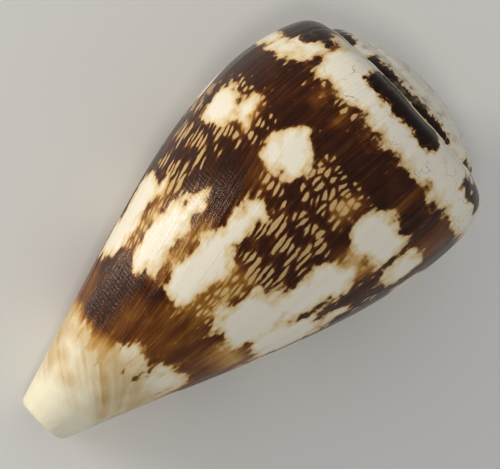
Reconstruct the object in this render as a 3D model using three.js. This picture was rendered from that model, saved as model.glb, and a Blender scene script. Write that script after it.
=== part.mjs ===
// Cone shell, lying on its aperture side: one dextral, coiled solid with a low stepped spire,
// rounded shoulders and a long narrow aperture that opens into the living chamber.
// Millimetres, +Z up. The shell is grown about its own coiling axis and then laid down.
import * as THREE from "three";
import { mergeVertices } from "three/addons/utils/BufferGeometryUtils.js";

// Driving dimensions of the grown shell, on its dorsal meridian unless they say otherwise.
const APEX_HEIGHT = 64.6; // above the anterior tip, along the coiling axis
const DORSAL_TURN = -0.377; // the dorsal meridian, in turns of growth before the lip
// The side from the anterior tip up to the widest place: height along the axis, radius from it,
// and how many times wider each place becomes in one turn of growth.
const SIDE = [
  { height: 0, radius: 3.3, growth: 3.0 },
  { height: 11, radius: 7.3, growth: 2.0 },
  { height: 25, radius: 12.4, growth: 1.55 },
  { height: 38, radius: 16.3, growth: 1.4 },
  { height: 49.5, radius: 17.9, growth: 1.32 },
];
const TIP_ADVANCE = 1.6; // how far the anterior edge moves forward in one turn
const SHOULDER_DROP = 3.6; // how far the shoulder comes down in one turn
const LIP_BROW = { height: 57, radius: 17.9 }; // where the shoulder turns into the ramp, at the lip
const SUTURE = { drop: 4.4, radius: 12.95, growth: 1.36 }; // seam between whorls, drop from the apex
const SPIRE_DOMING = 1.8; // 1 is a straight-sided spire, 2 a round dome
const RAMP_BULGE = 0.07; // rise of each ramp above its chord, as a share of the chord
const RIM = { width: 0.6, height: 0.2 }; // raised edge of each whorl along the suture
const RIM_SHARE = 0.5; // the most of a narrow ramp that its rim takes
const SPIRE_TURNS = 6; // earlier turns are worn away under a smooth eye

// Wall and chamber.
const LIP_THICKNESS = 0.8;
const WALL_THICKNESS = 1.3;
const LIP_THICKENING = 0.1; // turns from the lip to the full wall thickness
const CHAMBER_TURNS = 0.85;
const CHAMBER_CLOSING = 0.2; // turns over which the chamber's deep end narrows
const CHAMBER_END_WIDTH = 0.12; // share of the chamber's width that is left at its deep end
const ROOF_RISE = 0.9;

// How the shell lies: degrees by which the spire end of the axis is higher than the tip.
const REST_TILT = 11.2;

// Ground colour and gloss of the surface.
const CREAM = 0xe4dac4;
const GLOSS_ROUGHNESS = 0.3;

// Facets.
const STEPS_PER_TURN = 54;
const STEPS_PER_STATION = 3; // between two stations of the side
const RAMP_STEPS = 5; // from the brow to the suture
const ROOF_STEPS = 3;
const SAME_POINT = 1e-3; // points closer than this are one point

const BROW_COLUMN = SIDE.length * STEPS_PER_STATION;
const SUTURE_COLUMN = BROW_COLUMN + RAMP_STEPS;
const ROOF_COLUMN = BROW_COLUMN - 1;

const lerp = THREE.MathUtils.lerp;
const smoothstep = THREE.MathUtils.smoothstep;

function sutureAt(turn) {
  const radius = SUTURE.radius * SUTURE.growth ** (turn - DORSAL_TURN);
  const drop = SUTURE.drop * (radius / SUTURE.radius) ** SPIRE_DOMING;
  return new THREE.Vector2(radius, APEX_HEIGHT - drop);
}

// A whorl is covered from below up to its brow, which is the next whorl's suture. The last whorl has
// no next one, so its brow moves evenly from that seam to the brow at the lip.
function browAt(turn) {
  if (turn <= -1) return sutureAt(turn + 1);
  return sutureAt(0).lerp(new THREE.Vector2(LIP_BROW.radius, LIP_BROW.height), turn + 1);
}

function sideAt(turn) {
  const grown = turn - DORSAL_TURN;
  const widest = SIDE[SIDE.length - 1].height;
  const stretch = (widest - SHOULDER_DROP * grown) / widest;
  const side = SIDE.map((s) => new THREE.Vector2(s.radius * s.growth ** grown, s.height * stretch));
  side[0].y -= TIP_ADVANCE * grown;
  return side;
}

// The outline of the whorl in the half-plane at one turn, as columns of (radius, height) from the
// anterior tip over the widest place and the brow to the suture.
function outlineAt(turn) {
  const stations = [...sideAt(turn), browAt(turn), sutureAt(turn)];
  const curve = new THREE.SplineCurve(stations);
  const parts = stations.length - 1;
  const columns = [];
  for (let c = 0; c <= BROW_COLUMN; c++) columns.push(curve.getPoint(c / STEPS_PER_STATION / parts));
  const [brow, suture] = stations.slice(-2);
  const ramp = brow.distanceTo(suture);
  const rimShare = Math.min(RIM_SHARE, RIM.width / ramp);
  for (let c = 1; c <= RAMP_STEPS; c++) {
    const even = (c / (RAMP_STEPS - 1)) * (1 - rimShare);
    const share = c < RAMP_STEPS ? even : 1;
    const point = curve.getPoint((parts - 1 + share) / parts);
    point.y += RAMP_BULGE * ramp * Math.sin(Math.PI * share);
    if (c === RAMP_STEPS - 1) point.y += (RIM.height * rimShare * ramp) / RIM.width;
    columns.push(point);
  }
  return columns;
}

function wallThicknessAt(turn) {
  return lerp(LIP_THICKNESS, WALL_THICKNESS, smoothstep(-turn, 0, LIP_THICKENING));
}

// The chamber's outer side at one turn: the outline set in by the wall, from the tip up to the roof,
// and then over the roof to the whorl inside. Near its deep end the chamber narrows to a slit.
function chamberAt(turn) {
  const outer = outlineAt(turn);
  const inner = outlineAt(turn - 1);
  const thickness = wallThicknessAt(turn);
  const opened = smoothstep(turn, -CHAMBER_TURNS, -CHAMBER_TURNS + CHAMBER_CLOSING);
  const width = lerp(CHAMBER_END_WIDTH, 1, opened);
  const columns = [];
  for (let c = 0; c <= ROOF_COLUMN; c++) {
    const along = outer[c + 1].clone().sub(outer[Math.max(c - 1, 0)]).normalize();
    const wall = new THREE.Vector2(outer[c].x - thickness * along.y, outer[c].y + thickness * along.x);
    if (c === 0) wall.y = outer[0].y;
    columns.push(inner[c].clone().lerp(wall, width));
  }
  const start = columns[ROOF_COLUMN];
  for (let s = 1; s <= ROOF_STEPS; s++) {
    const point = start.clone().lerp(inner[ROOF_COLUMN], s / ROOF_STEPS);
    point.y += ROOF_RISE * width * Math.sin((Math.PI * s) / ROOF_STEPS);
    columns.push(point);
  }
  return columns;
}

// The coil is dextral: seen from the apex it grows clockwise. The dorsal meridian faces -X.
function place(point, turn) {
  const angle = Math.PI - 2 * Math.PI * (turn - DORSAL_TURN);
  return new THREE.Vector3(point.x * Math.cos(angle), point.x * Math.sin(angle), point.y);
}

function turnsBetween(first, last) {
  const steps = Math.round((last - first) * STEPS_PER_TURN);
  return Array.from({ length: steps + 1 }, (_, i) => lerp(first, last, i / steps));
}

// Collects triangles as loose points. Shared points are merged when the mesh is closed.
class Skin {
  points = [];

  triangle(a, b, c) {
    this.points.push(a, b, c);
  }

  // Quads between neighbouring rows. Rows follow the growth, columns run up the outline.
  rows(rows, inward = false) {
    for (let i = 0; i + 1 < rows.length; i++) {
      for (let j = 0; j + 1 < rows[i].length; j++) {
        const near = rows[i].slice(j, j + 2);
        const far = rows[i + 1].slice(j, j + 2);
        const corners = [near[0], near[1], far[1], far[0]];
        if (inward) corners.reverse();
        const [a, b, c, d] = corners;
        this.triangle(a, b, c);
        this.triangle(a, c, d);
      }
    }
  }

  // A flat face whose corners are drawn in 2D and stand in space at the same index.
  face(flat, corners, reversed = false) {
    for (const [a, b, c] of THREE.ShapeUtils.triangulateShape(flat, [])) {
      if (reversed) this.triangle(corners[a], corners[c], corners[b]);
      else this.triangle(corners[a], corners[b], corners[c]);
    }
  }

  geometry() {
    const loose = new THREE.BufferGeometry().setFromPoints(this.points);
    const closed = mergeVertices(loose, SAME_POINT);
    closed.computeVertexNormals();
    return closed;
  }
}

function growShell() {
  const skin = new Skin();
  const row = (turn, from, to) =>
    outlineAt(turn).slice(from, to + 1).map((point) => place(point, turn));
  const chamberRow = (turn) => chamberAt(turn).map((point) => place(point, turn));

  // The last whorl, the whorl inside the chamber that it covers, and the ramps of the spire.
  const spire = turnsBetween(-SPIRE_TURNS, -1).map((turn) => row(turn, BROW_COLUMN, SUTURE_COLUMN));
  const covered = turnsBetween(-1 - CHAMBER_TURNS, -1);
  const lastWhorl = turnsBetween(-1, 0);
  skin.rows(lastWhorl.map((turn) => row(turn, 0, SUTURE_COLUMN)));
  skin.rows(covered.map((turn) => row(turn, 0, ROOF_COLUMN)));
  skin.rows(spire);
  closeApex(skin, spire);

  const chamber = turnsBetween(-CHAMBER_TURNS, 0);
  skin.rows(chamber.map(chamberRow), true);

  // The end of the wall at the lip, from the tip to the suture, and the chamber's deep end.
  const inside = (turn, to) => outlineAt(turn - 1).slice(ROOF_COLUMN + 1, to + 1).reverse();
  const lip = [...outlineAt(0).slice(0, -1), ...inside(0, BROW_COLUMN), ...chamberAt(0).reverse()];
  skin.face(lip, lip.map((point) => place(point, 0)));
  const core = outlineAt(-CHAMBER_TURNS - 1).slice(0, ROOF_COLUMN);
  const deepEnd = [...core, ...chamberAt(-CHAMBER_TURNS).reverse()];
  skin.face(deepEnd, deepEnd.map((point) => place(point, -CHAMBER_TURNS)));

  // The open anterior end, seen from below: the spiral of the wall with the canal inside it.
  const tip = [
    ...[...covered, ...lastWhorl.slice(1)].map((turn) => place(outlineAt(turn)[0], turn)),
    ...chamber.reverse().map((turn) => place(chamberAt(turn)[0], turn)),
  ];
  skin.face(tip.map((p) => new THREE.Vector2(p.x, p.y)), tip, true);
  return skin.geometry();
}

// The eye of the spire is a small fan over the earliest turn.
function closeApex(skin, spire) {
  const rim = spire.slice(0, STEPS_PER_TURN + 1).map((row) => row[row.length - 1]);
  const start = spire[0].slice(0, -1);
  const loop = [...start, ...rim];
  const apex = new THREE.Vector3(0, 0, APEX_HEIGHT);
  loop.forEach((point, i) => {
    const next = loop[(i + 1) % loop.length];
    if (point.distanceTo(next) > SAME_POINT) skin.triangle(point, apex, next);
  });
}

const shell = new THREE.Mesh(
  growShell(),
  new THREE.MeshStandardMaterial({ color: CREAM, roughness: GLOSS_ROUGHNESS, metalness: 0 }),
);
shell.name = "shell";

const laid = new THREE.Group();
laid.rotation.y = THREE.MathUtils.degToRad(90 - REST_TILT);
laid.add(shell);

const part = new THREE.Group();
part.add(laid);
const box = new THREE.Box3().setFromObject(part, true);
const middle = box.getCenter(new THREE.Vector3());
laid.position.set(-middle.x, -middle.y, -box.min.z);

export default part;
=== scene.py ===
import math

import bpy
import numpy as np
from mathutils import Matrix, Vector


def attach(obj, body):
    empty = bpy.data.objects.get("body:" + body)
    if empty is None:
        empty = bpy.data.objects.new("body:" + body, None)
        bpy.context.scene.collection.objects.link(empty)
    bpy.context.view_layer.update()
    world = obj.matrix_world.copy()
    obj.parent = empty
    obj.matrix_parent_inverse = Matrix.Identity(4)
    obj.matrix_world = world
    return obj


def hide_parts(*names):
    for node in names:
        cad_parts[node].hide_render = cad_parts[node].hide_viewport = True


# A marbled cone shell lying on its aperture side. Lengths are millimetres until they are placed.
# "turn" counts turns of growth and is 0 at the lip, so older places have lower numbers.
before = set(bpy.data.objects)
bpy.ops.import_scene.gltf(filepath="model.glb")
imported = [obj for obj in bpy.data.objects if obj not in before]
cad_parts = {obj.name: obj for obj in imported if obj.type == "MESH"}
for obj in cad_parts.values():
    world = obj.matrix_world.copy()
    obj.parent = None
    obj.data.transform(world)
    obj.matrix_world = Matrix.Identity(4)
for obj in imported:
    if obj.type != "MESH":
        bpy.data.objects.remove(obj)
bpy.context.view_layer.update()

MM = 0.001
FULL_TURN = 360

# The shell's growth, as in the solid but for the shorter chamber.
APEX_HEIGHT = 64.6
DORSAL_TURN = -0.377
SIDE_HEIGHTS = np.array([0, 11, 25, 38, 49.5])
SIDE_RADII = np.array([3.3, 7.3, 12.4, 16.3, 17.9])
SIDE_GROWTH = np.array([3.0, 2.0, 1.55, 1.4, 1.32])
TIP_ADVANCE = 1.6
SHOULDER_DROP = 3.6
LIP_BROW = np.array([17.9, 57])
SUTURE_DROP = 4.4
SUTURE_RADIUS = 12.95
SUTURE_GROWTH = 1.36
SPIRE_DOMING = 1.8
RAMP_BULGE = 0.07
RIM_WIDTH = 0.6
RIM_HEIGHT = 0.2
RIM_SHARE = 0.5
SPIRE_TURNS = 6
LIP_THICKNESS = 0.8
WALL_THICKNESS = 1.3
LIP_THICKENING = 0.1
CHAMBER_TURNS = 0.4
CHAMBER_CLOSING = 0.12
CHAMBER_END_WIDTH = 0.12
ROOF_RISE = 0.9
REST_TILT = math.radians(11.2)

# Small forms that only the visible skin has.
SUTURE_SWAY = ((5.3, 0.009), (8.7, 0.006), (13.1, 0.004))  # waves in a turn, share of the size
TIP_ROUNDING = 0.55
TIP_ROUNDING_START = 0.06  # turns over which the rounding begins
LINE_LEAN = 0.8  # degrees that a growth line leans for each mm below LEAN_BELOW
LEAN_BELOW = 47
GROWTH_RIDGES = ((3.7, 0.006), (5.3, 0.010), (9.1, 0.018), (23, 0.035))  # pitch in degrees, size
GROWTH_SCARS = (  # place and width in degrees, depth
    (-28, 1.4, 0.10),
    (-46.5, 1.2, 0.08),
    (42, 1.5, 0.06),
    (27, 1.0, 0.05),
    (-120, 2, 0.1),
    (100, 1.6, 0.08),
)
SCAR_STEEPNESS = 0.35  # the younger side of a scar is this much of the older side
SWELL_RATE = 0.21
SWELL_MEAN = 0.6
SWELL_CHANGE = 0.4
RELIEF_HEIGHTS = (6, 22)  # relief grows from nothing to full between these heights

# Mesh steps. Growth lines are fine across the growth and long along the outline.
STEPS_PER_TURN = 540
SIDE_STEPS = 8
RAMP_STEPS = 14
ROOF_STEPS = 6
ROUND_STEPS = 4
ROUND_PLACES = 0.05  # how far up the first station of the side these steps reach
BROW_COLUMN = len(SIDE_HEIGHTS) * SIDE_STEPS + ROUND_STEPS
ROOF_COLUMN = BROW_COLUMN - 2
SAME_POINT = 1e-3
SHARP_ANGLE = math.radians(40)
COVERED_FADE = (-1.02, -1.12)  # turns over which the covered whorl changes to the inside colour


def smoothstep(low, high, value):
    share = np.clip((value - low) / (high - low), 0, 1)
    return share * share * (3 - 2 * share)


def degrees_from_dorsal(turn):
    return FULL_TURN * (turn - DORSAL_TURN)


def suture_at(turn):
    radius = SUTURE_RADIUS * SUTURE_GROWTH ** (turn - DORSAL_TURN)
    drop = SUTURE_DROP * (radius / SUTURE_RADIUS) ** SPIRE_DOMING
    sway = sum(size * math.sin(2 * math.pi * rate * turn) for rate, size in SUTURE_SWAY)
    return np.array([radius * (1 + sway), APEX_HEIGHT - drop * (1 - sway)])


def brow_at(turn):
    """A whorl's brow is the next whorl's suture; on the last whorl it moves evenly to the lip."""
    if turn <= -1:
        return suture_at(turn + 1)
    return suture_at(0) + (LIP_BROW - suture_at(0)) * (turn + 1)


def side_at(turn):
    grown = turn - DORSAL_TURN
    stretch = 1 - SHOULDER_DROP * grown / SIDE_HEIGHTS[-1]
    side = np.stack([SIDE_RADII * SIDE_GROWTH**grown, SIDE_HEIGHTS * stretch], axis=1)
    side[0, 1] -= TIP_ADVANCE * grown
    return side


def spline(stations, places):
    """Smooth curve through the stations; a place counts stations from the first."""
    last = len(stations) - 1
    first = np.clip(np.floor(places).astype(int), 0, last - 1)
    share = (places - first)[:, None]
    before, start = stations[np.maximum(first - 1, 0)], stations[first]
    end, after = stations[first + 1], stations[np.minimum(first + 2, last)]
    leave, arrive = (end - before) / 2, (after - start) / 2
    cubic = 2 * start - 2 * end + leave + arrive
    square = 3 * end - 3 * start - 2 * leave - arrive
    return ((cubic * share + square) * share + leave) * share + start


def directions(points):
    """Unit directions along a row of (radius, height) points."""
    along = np.gradient(points, axis=0)
    return along / np.linalg.norm(along, axis=1)[:, None]


def growth_line(around, height):
    """Growth lines lean as they come down the side; places on one line share one value."""
    return around + LINE_LEAN * np.maximum(LEAN_BELOW - height, 0)


def relief_at(turn, height):
    """How far growth ridges and scars lift each place of one outline off the smooth surface."""
    line = growth_line(degrees_from_dorsal(turn), height)
    swell = SWELL_MEAN + SWELL_CHANGE * np.sin((line + height) * SWELL_RATE)
    lift = sum(size * np.sin(2 * math.pi * line / pitch) for pitch, size in GROWTH_RIDGES) * swell
    for middle, width, depth in GROWTH_SCARS:
        beyond = (line - middle) / width
        lift = lift - depth * np.exp(-(beyond**2)) * np.where(beyond < 0, 1, SCAR_STEEPNESS)
    return lift * smoothstep(*RELIEF_HEIGHTS, height)


def smooth_outline_at(turn):
    """Columns of (radius, height) from the anterior tip over the brow to the suture."""
    brow, suture = brow_at(turn), suture_at(turn)
    stations = np.vstack([side_at(turn), brow, suture])
    round_places = np.arange(ROUND_STEPS + 1) / ROUND_STEPS * ROUND_PLACES
    side_places = np.arange(1, len(SIDE_HEIGHTS) * SIDE_STEPS + 1) / SIDE_STEPS
    share = np.arange(1, RAMP_STEPS + 1) / RAMP_STEPS
    places = np.concatenate([round_places, side_places, len(SIDE_HEIGHTS) + share])
    points = spline(stations, places)
    ramp = np.linalg.norm(suture - brow)
    rim_share = min(RIM_SHARE, RIM_WIDTH / ramp)
    rim = RIM_HEIGHT * rim_share * ramp / RIM_WIDTH
    crest = np.exp(-(((share - 1 + rim_share) / (rim_share / 2)) ** 2))
    points[BROW_COLUMN + 1 :, 1] += RAMP_BULGE * ramp * np.sin(math.pi * share) + rim * crest
    return points


def outline_at(turn):
    """The outline with its relief, which is nothing where whorls meet."""
    points = smooth_outline_at(turn)
    along = directions(points)
    outward = np.stack([along[:, 1], -along[:, 0]], axis=1)
    lift = relief_at(turn, points[:, 1])
    lift[-1] = 0
    if turn < -1:
        lift[BROW_COLUMN] = 0
    return points + outward * lift[:, None]


def round_tip(outline, turn):
    """Rounds the edge of the anterior end, which is worn smooth."""
    radius = TIP_ROUNDING * smoothstep(-1, -1 + TIP_ROUNDING_START, turn)
    below = np.clip(radius - (outline[:, 1] - outline[0, 1]), 0, radius)
    rounded = outline.copy()
    rounded[:, 0] -= radius - np.sqrt(radius**2 - below**2)
    return rounded


def chamber_at(turn):
    """The chamber's outer side, set in from the outline by the wall, and its roof."""
    outer, inner = outline_at(turn), outline_at(turn - 1)
    thickening = smoothstep(0, LIP_THICKENING, -turn)
    thickness = LIP_THICKNESS + (WALL_THICKNESS - LIP_THICKNESS) * thickening
    opened = smoothstep(-CHAMBER_TURNS, CHAMBER_CLOSING - CHAMBER_TURNS, turn)
    width = CHAMBER_END_WIDTH + (1 - CHAMBER_END_WIDTH) * opened
    along = directions(outer)[: ROOF_COLUMN + 1]
    wall = outer[: ROOF_COLUMN + 1] + thickness * np.stack([-along[:, 1], along[:, 0]], axis=1)
    wall[0, 1] = outer[0, 1]
    side = inner[: ROOF_COLUMN + 1] * (1 - width) + wall * width
    share = (np.arange(1, ROOF_STEPS + 1) / ROOF_STEPS)[:, None]
    roof = side[-1] + (inner[ROOF_COLUMN] - side[-1]) * share
    roof[:, 1] += ROOF_RISE * width * np.sin(math.pi * share[:, 0])
    return np.vstack([side, roof])


def placed(points, turn):
    """Points of one half-plane stood up in the shell's own space; the coil is dextral."""
    angle = math.pi - math.radians(degrees_from_dorsal(turn))
    radius, height = points[:, 0], points[:, 1]
    return np.stack([radius * math.cos(angle), radius * math.sin(angle), height], axis=1)


def turns_between(first, last):
    return np.linspace(first, last, round((last - first) * STEPS_PER_TURN) + 1)


class Skin:
    """Collects faces with the growth coordinates of each of their corners."""

    def __init__(self):
        self.points = []
        self.around = []
        self.height = []
        self.radius = []
        self.inside = []
        self.faces = []
        self.count = 0

    def add_points(self, points, turn, inside):
        self.points.append(placed(points, turn))
        self.around.append(np.full(len(points), degrees_from_dorsal(turn)))
        self.height.append(points[:, 1])
        self.radius.append(points[:, 0])
        self.inside.append(np.full(len(points), float(inside)))
        first = self.count
        self.count += len(points)
        return np.arange(first, self.count)

    def rows(self, outlines, turns, inside=0, reverse=False):
        """Quads between neighbouring outlines; inside is one number or one for each turn."""
        depths = np.broadcast_to(inside, len(turns))
        grid = np.array([self.add_points(*row) for row in zip(outlines, turns, depths)])
        corners = [grid[:-1, :-1], grid[:-1, 1:], grid[1:, 1:], grid[1:, :-1]]
        if reverse:
            corners.reverse()
        self.faces.extend(np.stack(corners, axis=-1).reshape(-1, 4).tolist())

    def face(self, points, turns, inside=0, reverse=False):
        """One face; its corners may be grown at different turns."""
        corners = [int(self.add_points(p[None], t, inside)[0]) for p, t in zip(points, turns)]
        self.faces.append(corners[::-1] if reverse else corners)


def grow_shell():
    skin = Skin()
    spire_turns = turns_between(-SPIRE_TURNS, -1)
    last_turns = turns_between(-1, 0)
    covered_turns = turns_between(-1 - CHAMBER_TURNS, -1)
    chamber_turns = turns_between(-CHAMBER_TURNS, 0)
    spire = [outline_at(t)[BROW_COLUMN:] for t in spire_turns]
    last = [round_tip(outline_at(t), t) for t in last_turns]
    covered = [outline_at(t)[: ROOF_COLUMN + 1] for t in covered_turns]
    chamber = [chamber_at(t) for t in chamber_turns]
    skin.rows(last, last_turns)
    skin.rows(covered, covered_turns, inside=smoothstep(*COVERED_FADE, covered_turns))
    skin.rows(spire, spire_turns)
    skin.rows(chamber, chamber_turns, inside=1, reverse=True)
    close_eye(skin, spire, spire_turns)
    close_lip(skin, last, chamber)
    close_deep_end(skin, covered, chamber)
    wall_turns = np.append(covered_turns, last_turns[1:])
    close_tip(skin, covered + last[1:], wall_turns, chamber, chamber_turns)
    return skin


def close_eye(skin, spire, turns):
    apex = np.array([0, APEX_HEIGHT])
    start = [(p, turns[0]) for p in spire[0]]
    loop = start + [(row[-1], t) for row, t in zip(spire[1 : STEPS_PER_TURN + 1], turns[1:])]
    for (point, turn), (after, turn_after) in zip(loop[:-1], loop[1:]):
        skin.face([point, apex, after], [turn, turn, turn_after])


def close_lip(skin, last, chamber):
    inner = last[0][ROOF_COLUMN + 1 : BROW_COLUMN + 1][::-1]
    edge = np.vstack([last[-1][:-1], inner, chamber[-1][::-1]])
    skin.face(edge, [0] * len(edge))


def close_deep_end(skin, covered, chamber):
    edge = np.vstack([covered[0][:-1], chamber[0][::-1]])
    skin.face(edge, [-CHAMBER_TURNS] * len(edge), inside=1, reverse=True)


def close_tip(skin, wall, wall_turns, chamber, chamber_turns):
    points = [row[0] for row in wall] + [row[0] for row in chamber[::-1]]
    skin.face(points, list(wall_turns) + list(chamber_turns[::-1]))


def laid_down(points):
    """From the shell's own space to the frame: spire towards +X, dorsal side up, on the floor."""
    tilt = Matrix.Rotation(math.pi / 2 - REST_TILT, 3, "Y")
    turned = points @ np.array(tilt).T
    low, high = turned.min(axis=0), turned.max(axis=0)
    return turned - [(low[0] + high[0]) / 2, (low[1] + high[1]) / 2, low[2]]


def add_fields(mesh, skin):
    """Growth coordinates and markings for the material, on each corner of each face."""
    corners = np.concatenate([np.asarray(face) for face in skin.faces])
    around = np.concatenate(skin.around)[corners]
    height = np.concatenate(skin.height)[corners]
    radius = np.concatenate(skin.radius)[corners]
    fields = marking_fields(around, height, radius)
    fields |= {"height": height, "inside": np.concatenate(skin.inside)[corners]}
    for name, values in fields.items():
        attribute = mesh.attributes.new(name, "FLOAT", "CORNER")
        attribute.data.foreach_set("value", values.astype(np.float32))


def build_shell(material):
    skin = grow_shell()
    points = np.vstack(skin.points)
    keys = np.round(points / SAME_POINT).astype(np.int64)
    _, kept, merged = np.unique(keys, axis=0, return_index=True, return_inverse=True)
    merged = merged.reshape(-1)
    faces = [[int(merged[corner]) for corner in face] for face in skin.faces]

    mesh = bpy.data.meshes.new("shell_skin")
    mesh.from_pydata((laid_down(points[kept]) * MM).tolist(), [], faces)
    add_fields(mesh, skin)
    mesh.polygons.foreach_set("use_smooth", [True] * len(mesh.polygons))
    mesh.set_sharp_from_angle(angle=SHARP_ANGLE)
    mesh.materials.append(material)
    shell = bpy.data.objects.new("shell_skin", mesh)
    bpy.context.scene.collection.objects.link(shell)
    return shell


# Markings. Each patch is its middle, in degrees from the dorsal line (positive
# towards the lip) and in height, and its half width in degrees and half height.
WHITE_PATCHES = (
    # the worn anterior end
    (0, 3.2, 400, 7.4), (-62, 9.8, 72, 2.8), (-4, 13, 13, 2.2), (-42, 14, 20, 3.4), (60, 9, 60, 2.2),
    (-110, 13, 40, 3),
    # the row below the middle band
    (69, 26, 11, 5.2), (77, 21.5, 8, 2.4), (56, 31, 2.5, 1), (37, 26.7, 9.5, 4.4), (33, 31.5, 3, 3.2),
    (9, 27.6, 10, 4.9), (10.5, 35, 5.2, 3.6), (-32, 28.3, 16, 4), (-37.5, 36, 9.5, 5.4),
    (-60, 30, 14, 4.2), (-62, 36.5, 4, 1.6), (-88, 27, 11, 4.6), (-118, 29, 13, 4.2),
    (-150, 27, 10, 4.8), (-178, 28.5, 9, 4.3), (-207, 27.5, 11, 4.6), (103, 27, 12, 4.8),
    (128, 28, 7, 4.8),
    # the row above the middle band
    (59, 43, 8.5, 2.6), (44.5, 44.8, 4.5, 1.5), (17.5, 45.3, 9.5, 2.7), (-33, 46.6, 13.3, 2.9),
    (-58, 46.3, 8.5, 2.4), (-84, 45.5, 10, 2.6), (-112, 46.5, 9, 2.6), (-140, 46, 12, 2.8),
    (-172, 46.5, 9, 2.5), (-203, 47, 11, 2.6), (92, 43, 9, 2.8), (121, 42.5, 9, 2.6),
    # the shoulder and the ramp above it
    (-95, 58.8, 135, 4), (27, 57.6, 15, 3.1), (52, 55.7, 10, 1.7), (74, 53.4, 22, 1.2),
    (46, 59.8, 9, 1.4), (110, 53, 30, 1.3), (95, 58.8, 5, 2), (132, 57.5, 6, 3),
)
# Near-black blotches on the ramps of the last whorl and the ones before it.
BLOTCHES = (
    (76, 56.7, 11, 1.8), (60, 57.6, 10, 1.5), (50, 57.8, 6, 0.5), (1, 59.5, 22.5, 1.6),
    (-50, 59.2, 5, 0.7), (-64, 59.3, 8, 1.2), (-105, 60, 16, 1.3), (-158, 60.5, 20, 1.4),
    (-205, 61, 14, 1.3), (115, 56.6, 12, 1.8), (-290, 60.2, 18, 0.7), (-352, 60.8, 30, 0.75),
    (-372, 60.9, 20, 0.6), (-338, 60.7, 14, 0.9), (-418, 61, 9, 0.4), (-480, 61.4, 20, 0.6),
    (-560, 61.7, 16, 0.6),
)
# Where light cells show between the dark lines.
CELL_PATCHES = (
    (-2, 46, 12, 3.2), (-13, 46, 5, 3), (52, 35.5, 11, 5.4), (70, 36, 8, 4), (-9, 37.5, 17, 5.6),
    (52, 43.8, 17, 4.2), (78, 42, 8, 3.5), (14, 40.5, 6, 2.4), (51, 27, 6, 5), (-38, 42, 8, 1.8),
    (-66, 40, 4, 3), (35, 44, 5, 3), (58, 53.2, 14, 1), (25, 53.8, 16, 1.2), (-12, 28, 10, 4.5),
    (-100, 37, 22, 5), (-150, 38, 20, 5), (-190, 36.5, 16, 5), (105, 35.5, 14, 4.5),
    (-126, 46, 6, 3), (107, 43, 6, 3),
)
# Where the brown is thin and reddish, and where it thins to gold.
REDDISH_PATCHES = (
    (78, 15, 20, 4.2), (-8, 19, 20, 5.5), (-60, 20, 36, 6), (20, 16, 10, 4), (-35, 42, 9, 2),
    (20, 41, 5, 2), (-130, 20, 40, 5), (110, 16, 20, 5), (-57, 51.5, 8, 3),
)
GOLD_PATCHES = (
    (51, 26.5, 5, 5), (23, 28, 4.5, 5), (-8, 28, 9, 4.2), (-14, 46, 4, 2), (-28.3, 52, 1, 3.4),
    (44, 45, 6, 2), (14, 52.6, 1.6, 1.2), (27, 52.6, 1.6, 1.2), (-38, 42.2, 8, 1.4),
    (-50, 23.5, 14, 1.6), (16, 11.8, 12, 1.2), (60, 11.6, 30, 1), (38, 58.2, 5, 1),
)
# Golden strands over the cream of the anterior end: patches of them, and single ones, each with the
# degrees at which it crosses SWEEP_BELOW and its width in degrees.
STRAND_PATCHES = (
    (-20, 10.5, 55, 3.4), (22, 12.5, 16, 2.5), (72, 6.4, 20, 2.4), (-100, 10, 30, 3.2), (60, 11, 30, 1.2),
)
STRANDS = ((42, 26), (-8, 14), (118, 18), (-90, 20))
STRAND_SWEEP = 0.9  # how fast strands sweep round the anterior end
SWEEP_BELOW = 16

# Strengths of the markings, and the heights or degrees between which they fade in.
FAR_OUTSIDE = -99.0
PATCH_ROUNDNESS = 0.8
SOFT_EDGE = 1.3
CELL_STRENGTH = 0.9
REDDISH_THINNING = 0.35
GOLD_THINNING = 0.6
TIP_THINNING = 0.95
TIP_THIN_HEIGHTS = (14, 10.5)
STRAND_STRENGTH = 0.75
STRAND_FOOT = (3, 7)
STRAND_HEAD = (15.5, 13)
TIP_SOFTNESS = 0.5
TIP_SOFT_HEIGHTS = (18, 12)
OLDEST_OF_LAST_WHORL = -224.3
WORN_DEGREES = (OLDEST_OF_LAST_WHORL, OLDEST_OF_LAST_WHORL - 40)
WORN_WHITE = 3.0
SHOULDER_FOOT = (52, 54)
SHOULDER_HEAD = (59.5, 58.5)
SEAM_ABOVE = 55
SEAM_WIDTHS = (0.95, 0.5)
RAMP_RADIUS = 17.0


def depth_inside(patches, around, height, mm_per_degree):
    """How deep each place lies inside the nearest of some rounded patches; negative outside."""
    deepest = np.full(around.shape, FAR_OUTSIDE)
    for middle, level, half_around, half_height in patches:
        half_width = half_around * mm_per_degree
        corner = PATCH_ROUNDNESS * np.minimum(half_width, half_height)
        across = np.abs(around - middle) * mm_per_degree - half_width + corner
        along = np.abs(height - level) - half_height + corner
        outside = np.hypot(np.maximum(across, 0), np.maximum(along, 0))
        inside = np.minimum(np.maximum(across, along), 0)
        deepest = np.maximum(deepest, corner - outside - inside)
    return deepest


def white_field(depth, around, height):
    """Depth inside the white, softer at the anterior end; whorls before the last are worn white."""
    softened = depth * (1 - TIP_SOFTNESS * smoothstep(*TIP_SOFT_HEIGHTS, height))
    return np.where(around < OLDEST_OF_LAST_WHORL, WORN_WHITE, softened)


def strand_field(sweep, height):
    strands = sum(np.exp(-(((sweep - middle) / width) ** 2)) for middle, width in STRANDS)
    return strands * smoothstep(*STRAND_FOOT, height) * smoothstep(*STRAND_HEAD, height)


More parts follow.
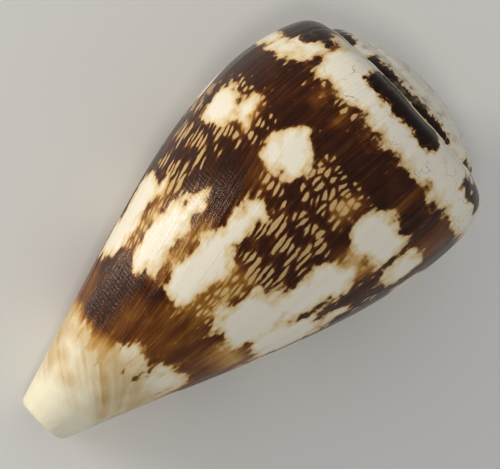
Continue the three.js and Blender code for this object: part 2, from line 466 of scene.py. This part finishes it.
def marking_fields(around, height, radius):
    place = (around, height, np.radians(radius))

    def soft(patches):
        return smoothstep(-SOFT_EDGE, SOFT_EDGE, depth_inside(patches, *place))

    thin = REDDISH_THINNING * soft(REDDISH_PATCHES) + GOLD_THINNING * soft(GOLD_PATCHES)
    sweep = around + STRAND_SWEEP * np.maximum(SWEEP_BELOW - height, 0) ** 2
    on_ramp = height > SEAM_ABOVE
    from_seam = radius - SUTURE_RADIUS * SUTURE_GROWTH ** (around / FULL_TURN)
    return {
        "line": growth_line(around, height),
        "along": height + np.where(on_ramp, np.maximum(RAMP_RADIUS - radius, 0), 0),
        "worn": smoothstep(*WORN_DEGREES, around),
        "sweep": sweep,
        "white": white_field(depth_inside(WHITE_PATCHES, *place), around, height),
        "blotch": depth_inside(BLOTCHES, *place),
        "cells": CELL_STRENGTH * soft(CELL_PATCHES),
        "thin": thin + TIP_THINNING * smoothstep(*TIP_THIN_HEIGHTS, height),
        "strands": np.maximum(STRAND_STRENGTH * soft(STRAND_PATCHES), strand_field(sweep, height)),
        "shoulder": smoothstep(*SHOULDER_FOOT, height) * smoothstep(*SHOULDER_HEAD, height),
        "seam": smoothstep(*SEAM_WIDTHS, from_seam) * on_ramp,
    }


# Sockets of the colour mix node.
MIX_SHARE = 0
MIX_FIRST = 6
MIX_SECOND = 7
MIX_RESULT = 2
NOISE_MIDDLE = 0.5


class Nodes:
    """Shorthand for building a material's node tree."""

    def __init__(self, material):
        material.use_nodes = True
        self.tree = material.node_tree
        self.shader = self.tree.nodes["Principled BSDF"]

    def node(self, kind, inputs=(), **settings):
        made = self.tree.nodes.new(kind)
        for name, value in settings.items():
            setattr(made, name, value)
        for name, value in dict(inputs).items():
            self.put(value, made.inputs[name])
        return made

    def put(self, value, socket):
        if isinstance(value, bpy.types.NodeSocket):
            self.tree.links.new(value, socket)
        else:
            socket.default_value = value

    def value(self, name):
        return self.node("ShaderNodeAttribute", attribute_name=name).outputs["Fac"]

    def math(self, operation, *values, clamp=False):
        made = self.node("ShaderNodeMath", operation=operation, use_clamp=clamp)
        for index, value in enumerate(values):
            self.put(value, made.inputs[index])
        return made.outputs[0]

    def times(self, first, second):
        return self.math("MULTIPLY", first, second)

    def line(self, value, slope, start, clamp=False):
        return self.math("MULTIPLY_ADD", value, slope, start, clamp=clamp)

    def shifted(self, value, noises, amounts):
        """A value moved by some of the noises, each by its own amount."""
        for name, amount in amounts.items():
            value = self.line(noises[name], amount, value)
        return value

    def vector(self, x, y):
        return self.node("ShaderNodeCombineXYZ", {"X": x, "Y": y}).outputs[0]

    def noise(self, vector, detail, roughness=0.5):
        """Noise from about -0.5 to 0.5; the vector is already scaled."""
        settings = {"Vector": vector, "Scale": 1.0, "Detail": detail, "Roughness": roughness}
        made = self.node("ShaderNodeTexNoise", settings)
        return self.math("SUBTRACT", made.outputs["Fac"], NOISE_MIDDLE)

    def voronoi(self, vector, feature, randomness=1.0):
        settings = {"Vector": vector, "Scale": 1.0, "Randomness": randomness}
        made = self.node("ShaderNodeTexVoronoi", settings, feature=feature, voronoi_dimensions="2D")
        return made.outputs["Distance"]

    def ramp(self, value, stops):
        """Colours along a value; each stop is (value, colour), and the first value is 0."""
        top = stops[-1][0]
        made = self.node("ShaderNodeValToRGB", {"Fac": self.math("DIVIDE", value, top, clamp=True)})
        elements = made.color_ramp.elements
        while len(elements) < len(stops):
            elements.new(1.0)
        for element, (at, colour) in zip(elements, stops):
            element.position = at / top
            element.color = (*colour, 1)
        return made.outputs["Color"]

    def mix(self, share, first, second):
        """From a colour socket to a plain colour or another socket."""
        made = self.node("ShaderNodeMix", data_type="RGBA")
        self.put(share, made.inputs[MIX_SHARE])
        self.put(first, made.inputs[MIX_FIRST])
        self.put((*second, 1) if isinstance(second, tuple) else second, made.inputs[MIX_SECOND])
        return made.outputs[MIX_RESULT]


BLACK_BROWN = (0.011, 0.0025, 0.0010)
DARK_BROWN = (0.040, 0.0095, 0.0018)
REDDISH_BROWN = (0.115, 0.033, 0.0045)
GOLDEN_BROWN = (0.25, 0.100, 0.014)
GOLDEN = (0.46, 0.25, 0.058)
PALE_GOLD = (0.57, 0.38, 0.15)
CREAM = (0.74, 0.60, 0.36)
TIP_CREAM = (0.84, 0.80, 0.62)
STRAND_GOLD = (0.47, 0.27, 0.042)
STAIN = (0.25, 0.20, 0.14)
PORCELAIN = (0.80, 0.77, 0.73)
WHITE = (0.82, 0.78, 0.66)

# The brown from thick to thin, and the light colours from the edge of a patch to its middle.
BROWNS = (
    (0.0, BLACK_BROWN),
    (0.28, DARK_BROWN),
    (0.55, REDDISH_BROWN),
    (0.8, GOLDEN_BROWN),
    (1.1, GOLDEN),
    (1.4, PALE_GOLD),
)
LIGHTS = ((0.0, PALE_GOLD), (0.5, CREAM), (1.3, WHITE))

MM_PER_DEGREE = 0.3  # on the widest part of the side

# Noises: length across and along the growth lines, detail and roughness.
NOISES = {
    "ragged": (1.0, 1.2, 3, 0.5),
    "streaks": (0.32, 9, 4, 0.62),
    "cloud": (2.4, 3.4, 2, 0.5),
}
# How much each noise moves the edges of the markings.
WHITE_NOISE = {"cloud": 4.0, "ragged": 2.0, "streaks": 0.5}
BLOTCH_NOISE = {"ragged": 2.2, "cloud": 2.0}
CELL_NOISE = {"cloud": 1.5, "ragged": 1.1}
BROWN_NOISE = {"streaks": 0.8, "cloud": 0.5}


def flow(nodes, across, along, coordinate="line"):
    """Coordinates that run along the growth lines: lengths are scaled across and along them."""
    line = nodes.times(nodes.value(coordinate), MM_PER_DEGREE / across)
    return nodes.vector(line, nodes.math("DIVIDE", nodes.value("along"), along))


def pattern_noises(nodes):
    return {
        name: nodes.noise(flow(nodes, across, along), detail, roughness)
        for name, (across, along, detail, roughness) in NOISES.items()
    }


WHITE_SPREAD = 0.25
BLOTCH_CUT = -2.2  # how steeply blotches cut into the white


def white_depth(nodes, noises, blotch):
    """White patches with ragged edges, cut away where a blotch lies over them."""
    white = nodes.shifted(nodes.value("white"), noises, WHITE_NOISE)
    white = nodes.math("ADD", white, WHITE_SPREAD)
    return nodes.math("MINIMUM", white, nodes.times(blotch, BLOTCH_CUT))


CELL_WIDTH = 0.85
CELL_LENGTH = 2.4
CELL_STRETCH = -0.85  # cells are longest at STRETCH_HEIGHT
STRETCH_HEIGHT = 36
STRETCH_PITCH = 24
CELL_WOBBLE = 0.7
WOBBLE_LENGTHS = (1.6, 2.0)
WOBBLE_DETAIL = 2
CELL_RANDOMNESS = 0.75
CELL_ROUNDING = -0.3
CELL_START = 0.12


def cell_walls(nodes):
    """Distance from the walls of long round-ended cells; the cells are longest in the middle band."""
    height = nodes.value("height")
    above = nodes.math("SUBTRACT", height, STRETCH_HEIGHT)
    wave = nodes.math("SINE", nodes.times(above, 2 * math.pi / STRETCH_PITCH))
    level = nodes.line(wave, CELL_STRETCH, nodes.math("DIVIDE", height, CELL_LENGTH))
    wobble = nodes.noise(flow(nodes, *WOBBLE_LENGTHS), WOBBLE_DETAIL)
    line = nodes.times(nodes.value("line"), MM_PER_DEGREE / CELL_WIDTH)
    place = nodes.vector(nodes.line(wobble, CELL_WOBBLE, line), level)
    edge = nodes.voronoi(place, "DISTANCE_TO_EDGE", CELL_RANDOMNESS)
    middle = nodes.voronoi(place, "F1", CELL_RANDOMNESS)
    return nodes.math("ADD", nodes.line(middle, CELL_ROUNDING, edge), CELL_START)


NEAR_SLOPE = 0.35  # how cells open near the white
NEAR_START = 0.5
NEAR_STRENGTH = 0.9
OPEN_SLOPE = 1.3
OPEN_START = -0.3
WALL_SLOPE = -0.45  # walls are thinner where cells are more open
WALL_CLOSED = 0.66
CELL_SHARPNESS = 2.6
CELL_LIGHT = 0.1
BLOTCH_REACH = -1.0
BLOTCH_CLEARING = -1.5


def cell_depth(nodes, noises, white, blotch):
    """Light cells between dark walls, near the white and in the celled patches, clear of blotches."""
    near = nodes.times(nodes.line(white, NEAR_SLOPE, NEAR_START, clamp=True), NEAR_STRENGTH)
    opened = nodes.math("MAXIMUM", nodes.value("cells"), near)
    opened = nodes.shifted(nodes.line(opened, OPEN_SLOPE, OPEN_START), noises, CELL_NOISE)
    wall = nodes.line(opened, WALL_SLOPE, WALL_CLOSED)
    cells = nodes.times(nodes.math("SUBTRACT", cell_walls(nodes), wall), CELL_SHARPNESS)
    cells = nodes.math("MINIMUM", cells, CELL_LIGHT)
    clear = nodes.times(nodes.math("MAXIMUM", blotch, BLOTCH_REACH), BLOTCH_CLEARING)
    return nodes.math("MINIMUM", cells, clear)


BLEND = 0.3
SEAM_SLOPE = 3.5
SEAM_START = -3.0


def light_depth(nodes, white, cells):
    """White patches and light cells together, with a light line along the seam between whorls."""
    light = nodes.math("SMOOTH_MAX", white, cells, BLEND)
    return nodes.math("MAXIMUM", light, nodes.line(nodes.value("seam"), SEAM_SLOPE, SEAM_START))


HALO_SLOPE = 0.6
HALO_START = 0.38
HALO_STRENGTH = 0.95
BROWN_START = 0.24
HEAVY_SLOPE = 1.2
HEAVY_START = -0.1
HEAVY_STRENGTH = 0.5


def brown_colour(nodes, noises, light, blotch):
    """The brown: thin and golden next to the white, dark elsewhere and darkest in the blotches."""
    halo = nodes.line(light, HALO_SLOPE, HALO_START, clamp=True)
    thin = nodes.line(halo, HALO_STRENGTH, nodes.value("thin"))
    thin = nodes.math("ADD", nodes.shifted(thin, noises, BROWN_NOISE), BROWN_START)
    heavy = nodes.line(blotch, HEAVY_SLOPE, HEAVY_START, clamp=True)
    thin = nodes.math("SUBTRACT", thin, nodes.times(heavy, HEAVY_STRENGTH))
    return nodes.ramp(thin, BROWNS)


END_HEIGHT = 17
END_FADE = 8


def pale_colour(nodes, light):
    """The light colours, yellower at the worn anterior end."""
    below = nodes.math("SUBTRACT", END_HEIGHT, nodes.value("height"))
    end = nodes.math("DIVIDE", below, END_FADE, clamp=True)
    return nodes.mix(end, nodes.ramp(light, LIGHTS), TIP_CREAM)


STRAND_LENGTHS = (9, 12)
STRAND_DETAIL = 4
STRAND_ROUGHNESS = 0.55
STRAND_SLOPE = 3.2
STRAND_START = 0.78
STRAND_COVER = 0.9


def gild_tip(nodes, colour, share):
    """Golden strands over the light part of the anterior end."""
    noise = nodes.noise(flow(nodes, *STRAND_LENGTHS, "sweep"), STRAND_DETAIL, STRAND_ROUGHNESS)
    strand = nodes.line(noise, STRAND_SLOPE, STRAND_START, clamp=True)
    strand = nodes.times(nodes.times(strand, nodes.value("strands")), share)
    return nodes.mix(nodes.times(strand, STRAND_COVER), colour, STRAND_GOLD)


CRACK_WIDTH = 2.6  # size of the plates between cracks, across and along the growth lines
CRACK_HEIGHT = 2.2
CRACK_RAGGED = 1.6
CRACK_BEND = 1.2
HAIR_WIDTH = 0.035
HAIR_SLOPE = 7.0
HAIR_START = 0.1
HAIR_COVER = 0.85


def crack_shoulder(nodes, colour, noises):
    """Hairline cracks, in places, in the white of the shoulder."""
    line = nodes.times(nodes.value("line"), MM_PER_DEGREE / CRACK_WIDTH)
    level = nodes.math("DIVIDE", nodes.value("height"), CRACK_HEIGHT)
    across = nodes.line(noises["ragged"], CRACK_RAGGED, line)
    place = nodes.vector(across, nodes.line(noises["cloud"], CRACK_BEND, level))
    crack = nodes.voronoi(place, "DISTANCE_TO_EDGE")
    hair = nodes.math("SUBTRACT", 1.0, nodes.math("DIVIDE", crack, HAIR_WIDTH), clamp=True)
    hair = nodes.times(hair, nodes.line(noises["cloud"], HAIR_SLOPE, HAIR_START, clamp=True))
    hair = nodes.times(hair, nodes.value("shoulder"))
    return nodes.mix(nodes.times(hair, HAIR_COVER), colour, GOLDEN_BROWN)


STAIN_LENGTH = 2.4
STAIN_DETAIL = 5
STAIN_ROUGHNESS = 0.6
STAIN_SLOPE = 5.0
STAIN_START = -0.15
STAIN_COVER = 0.75


def stain_spire(nodes, colour):
    """Grey stains on the worn spire."""
    place = nodes.node("ShaderNodeTexCoord").outputs["Object"]
    settings = {"Vector": place, "Scale": 1 / (STAIN_LENGTH * MM)}
    scaled = nodes.node("ShaderNodeVectorMath", settings, operation="SCALE").outputs[0]
    noise = nodes.noise(scaled, STAIN_DETAIL, STAIN_ROUGHNESS)
    stain = nodes.line(noise, STAIN_SLOPE, STAIN_START, clamp=True)
    stain = nodes.times(stain, nodes.times(nodes.value("worn"), STAIN_COVER))
    return nodes.mix(stain, colour, STAIN)


LIGHT_SLOPE = 3.2
LIGHT_START = 0.5


def shell_colour(nodes):
    noises = pattern_noises(nodes)
    blotch = nodes.shifted(nodes.value("blotch"), noises, BLOTCH_NOISE)
    white = white_depth(nodes, noises, blotch)
    light = light_depth(nodes, white, cell_depth(nodes, noises, white, blotch))
    share = nodes.line(light, LIGHT_SLOPE, LIGHT_START, clamp=True)
    colour = nodes.mix(share, brown_colour(nodes, noises, light, blotch), pale_colour(nodes, light))
    colour = gild_tip(nodes, colour, share)
    colour = crack_shoulder(nodes, colour, noises)
    colour = stain_spire(nodes, colour)
    return nodes.mix(nodes.value("inside"), colour, PORCELAIN)


LINE_LENGTHS = (0.22, 12)
LINE_DETAIL = 3
LINE_ROUGHNESS = 0.6
LINE_SIZE = 0.08
THREAD_PITCH = 0.5
THREAD_SIZE = 0.006
THREAD_WAVER = 9.0
THREAD_NOISE_DETAIL = 2
WAVER_LENGTHS = (2.5, 1.5)
BREAK_LENGTHS = (1.2, 0.9)
BREAK_SLOPE = 5.0
BREAK_START = 0.4
THREADS_BELOW = 52
THREADS_FADE = 30


def fine_relief(nodes):
    """Fine growth lines crossed by broken spiral threads, strongest towards the anterior end."""
    lines = nodes.noise(flow(nodes, *LINE_LENGTHS), LINE_DETAIL, LINE_ROUGHNESS)
    waver = nodes.noise(flow(nodes, *WAVER_LENGTHS), THREAD_NOISE_DETAIL)
    height = nodes.value("height")
    phase = nodes.line(waver, THREAD_WAVER, nodes.times(height, 2 * math.pi / THREAD_PITCH))
    breaks = nodes.noise(flow(nodes, *BREAK_LENGTHS), THREAD_NOISE_DETAIL)
    broken = nodes.line(breaks, BREAK_SLOPE, BREAK_START, clamp=True)
    threads = nodes.times(nodes.math("SINE", phase), broken)
    below = nodes.math("SUBTRACT", THREADS_BELOW, height)
    lower = nodes.math("DIVIDE", below, THREADS_FADE, clamp=True)
    relief = nodes.times(nodes.times(threads, lower), THREAD_SIZE)
    relief = nodes.line(lines, LINE_SIZE, relief)
    bump = nodes.node("ShaderNodeBump", {"Height": relief, "Distance": MM, "Strength": 1.0})
    return bump.outputs["Normal"]


SHELL_ROUGHNESS = 0.17
SHELL_SPECULAR = 0.17


def shell_material():
    material = bpy.data.materials.new("shell")
    nodes = Nodes(material)
    nodes.put(shell_colour(nodes), nodes.shader.inputs["Base Color"])
    nodes.put(fine_relief(nodes), nodes.shader.inputs["Normal"])
    nodes.shader.inputs["Roughness"].default_value = SHELL_ROUGHNESS
    nodes.shader.inputs["Specular IOR Level"].default_value = SHELL_SPECULAR
    return material


# Camera, square to the shell's axis as in the photo.
VIEW_DISTANCE = 0.33
VIEW_TARGET = Vector((2.73, 0, 13.82)) * MM
VIEW_LENS = 188.9
SENSOR_WIDTH = 36
AXIS_ANGLE = math.radians(41.3)


def image_axes():
    """The picture's right, up and towards the viewer; the shell's axis climbs to the upper right."""
    along = Vector((math.cos(REST_TILT), 0, math.sin(REST_TILT)))
    towards_lip = Vector((0, 1, 0))
    right = along * math.cos(AXIS_ANGLE) - towards_lip * math.sin(AXIS_ANGLE)
    up = along * math.sin(AXIS_ANGLE) + towards_lip * math.cos(AXIS_ANGLE)
    return right, up, along.cross(towards_lip)


def add_camera():
    right, up, back = image_axes()
    camera = bpy.data.objects.new("camera", bpy.data.cameras.new("camera"))
    camera.data.lens = VIEW_LENS
    camera.data.sensor_width = SENSOR_WIDTH
    camera.data.sensor_fit = "HORIZONTAL"
    turn = Matrix((right, up, back)).transposed().to_4x4()
    camera.matrix_world = Matrix.Translation(VIEW_TARGET + back * VIEW_DISTANCE) @ turn
    bpy.context.scene.collection.objects.link(camera)
    bpy.context.scene.camera = camera


LAMP_COLOUR = (1.0, 0.95, 0.87)
GLEAM_COLOUR = (1.0, 0.87, 0.70)
WORLD_COLOUR = (1, 1, 1, 1)
WORLD_STRENGTH = 0.4


def add_area_light(name, image_direction, distance, size, power, colour=LAMP_COLOUR, gleams=False):
    """A soft square lamp; its direction is along the image's right, up and towards the viewer."""
    parts = [axis * share for axis, share in zip(image_axes(), image_direction)]
    direction = sum(parts, Vector()).normalized()
    lamp = bpy.data.objects.new(name, bpy.data.lights.new(name, "AREA"))
    lamp.data.size = size
    lamp.data.energy = power
    lamp.data.color = colour
    lamp.visible_glossy = gleams
    place = Matrix.Translation(VIEW_TARGET + direction * distance)
    lamp.matrix_world = place @ direction.to_track_quat("Z", "Y").to_matrix().to_4x4()
    bpy.context.scene.collection.objects.link(lamp)


def add_lights():
    add_area_light("key", (-1.0, 0.6, 0.5), distance=0.6, size=0.16, power=1.15)
    add_area_light("fill", (0.0, -0.2, 1.0), distance=0.9, size=0.14, power=1.4)
    gleam = {"distance": 0.4, "size": 0.06, "power": 0.6}
    add_area_light("gleam", (-0.93, 0.3, 0.22), **gleam, colour=GLEAM_COLOUR, gleams=True)
    world = bpy.data.worlds.new("studio")
    world.use_nodes = True
    background = world.node_tree.nodes["Background"]
    background.inputs["Color"].default_value = WORLD_COLOUR
    background.inputs["Strength"].default_value = WORLD_STRENGTH
    bpy.context.scene.world = world


FLOOR_SIZE = 3.0
FLOOR_COLOUR = (0.75, 0.75, 0.74, 1)
FLOOR_ROUGHNESS = 0.8


def add_floor():
    mesh = bpy.data.meshes.new("floor")
    half = FLOOR_SIZE / 2
    corners = [(-half, -half, 0), (half, -half, 0), (half, half, 0), (-half, half, 0)]
    mesh.from_pydata(corners, [], [(0, 1, 2, 3)])
    material = bpy.data.materials.new("floor")
    material.use_nodes = True
    shader = material.node_tree.nodes["Principled BSDF"]
    shader.inputs["Base Color"].default_value = FLOOR_COLOUR
    shader.inputs["Roughness"].default_value = FLOOR_ROUGHNESS
    mesh.materials.append(material)
    floor = bpy.data.objects.new("floor", mesh)
    bpy.context.scene.collection.objects.link(floor)
    return floor


bpy.context.scene.view_settings.view_transform = "Standard"
shell = build_shell(shell_material())
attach(shell, "root")
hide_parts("shell")
add_floor()
add_camera()
add_lights()
